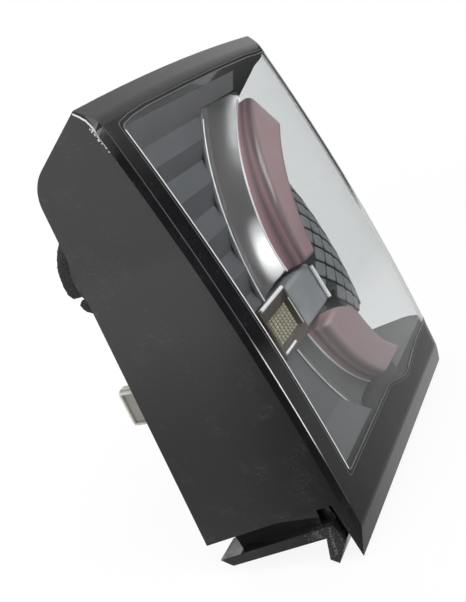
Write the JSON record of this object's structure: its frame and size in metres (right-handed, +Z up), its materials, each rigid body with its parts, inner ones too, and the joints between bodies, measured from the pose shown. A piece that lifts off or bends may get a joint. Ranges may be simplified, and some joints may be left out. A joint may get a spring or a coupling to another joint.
{
  "type": "tail light cluster",
  "caption": "Right-hand wrap-around car tail lamp with a gloss black housing, clear-windowed lens, curved red light guides, scaled inner panel and studs behind.",
  "frame": {"origin": "middle of the lower pair of mounting studs, on the plane of the stud bosses", "axes": "+X outboard, +Y forward into the car along the studs, +Z up along the back wall; the lens faces -Y and leans 10.2 degrees"},
  "size_m": [0.3317, 0.1782, 0.3913],
  "materials": {
    "lens_black": "high gloss",
    "lens_clear": "clear, moulded",
    "housing_black": "gloss, lightly scratched",
    "bezel_dark": "fine satin",
    "bezel_satin": "satin metallic",
    "guide_red": "translucent",
    "bridge_grey": "satin",
    "bright_trim": "bright",
    "scale_grey": "satin",
    "optic_clear": "prismatic",
    "reflector": "bright",
    "holder_grey": "matte",
    "bulb_glass": "clear",
    "carrier_black": "matte",
    "screw_steel": "zinc plated",
    "board_white": "solder mask",
    "diode": "resin",
    "socket_black": "matte",
    "pin_brass": "tinned",
    "foam_black": "open cell foam",
    "nylon_pale": "natural nylon",
    "stud_steel": "zinc plated",
    "cover_aluminium": "die cast",
    "board_green": "solder mask",
    "breather_black": "matte"
  },
  "bodies": {
    "root": {"lens_border": "lens_black", "lens_window": "lens_clear", "housing": "housing_black", "inner_bezel": "bezel_dark", "upper_arc_bezel": "bezel_satin", "lower_arc_bezel": "bezel_satin", "upper_light_guide": "guide_red", "lower_light_guide": "guide_red", "bridge_cover": "bridge_grey", "bridge_trim": "bright_trim", "scale_panel": "scale_grey", "reverse_lamp_frame": "bright_trim", "reverse_lamp_lens": "optic_clear", "reverse_reflector": "reflector", "bulb_holder": "holder_grey", "reverse_bulb": "bulb_glass", "carrier": "carrier_black", "carrier_screws": "screw_steel", "bezel_screws": "screw_steel", "upper_led_board": "board_white", "upper_leds": "diode", "lower_led_board": "board_white", "lower_leds": "diode", "connector_socket": "socket_black", "connector_pins": "pin_brass", "foam_seal": "foam_black", "locating_clip": "nylon_pale", "mounting_studs": "stud_steel", "driver_cover": "cover_aluminium", "driver_board": "board_green", "cover_screws": "screw_steel", "breather_cap": "breather_black"}
  },
  "joints": []
}
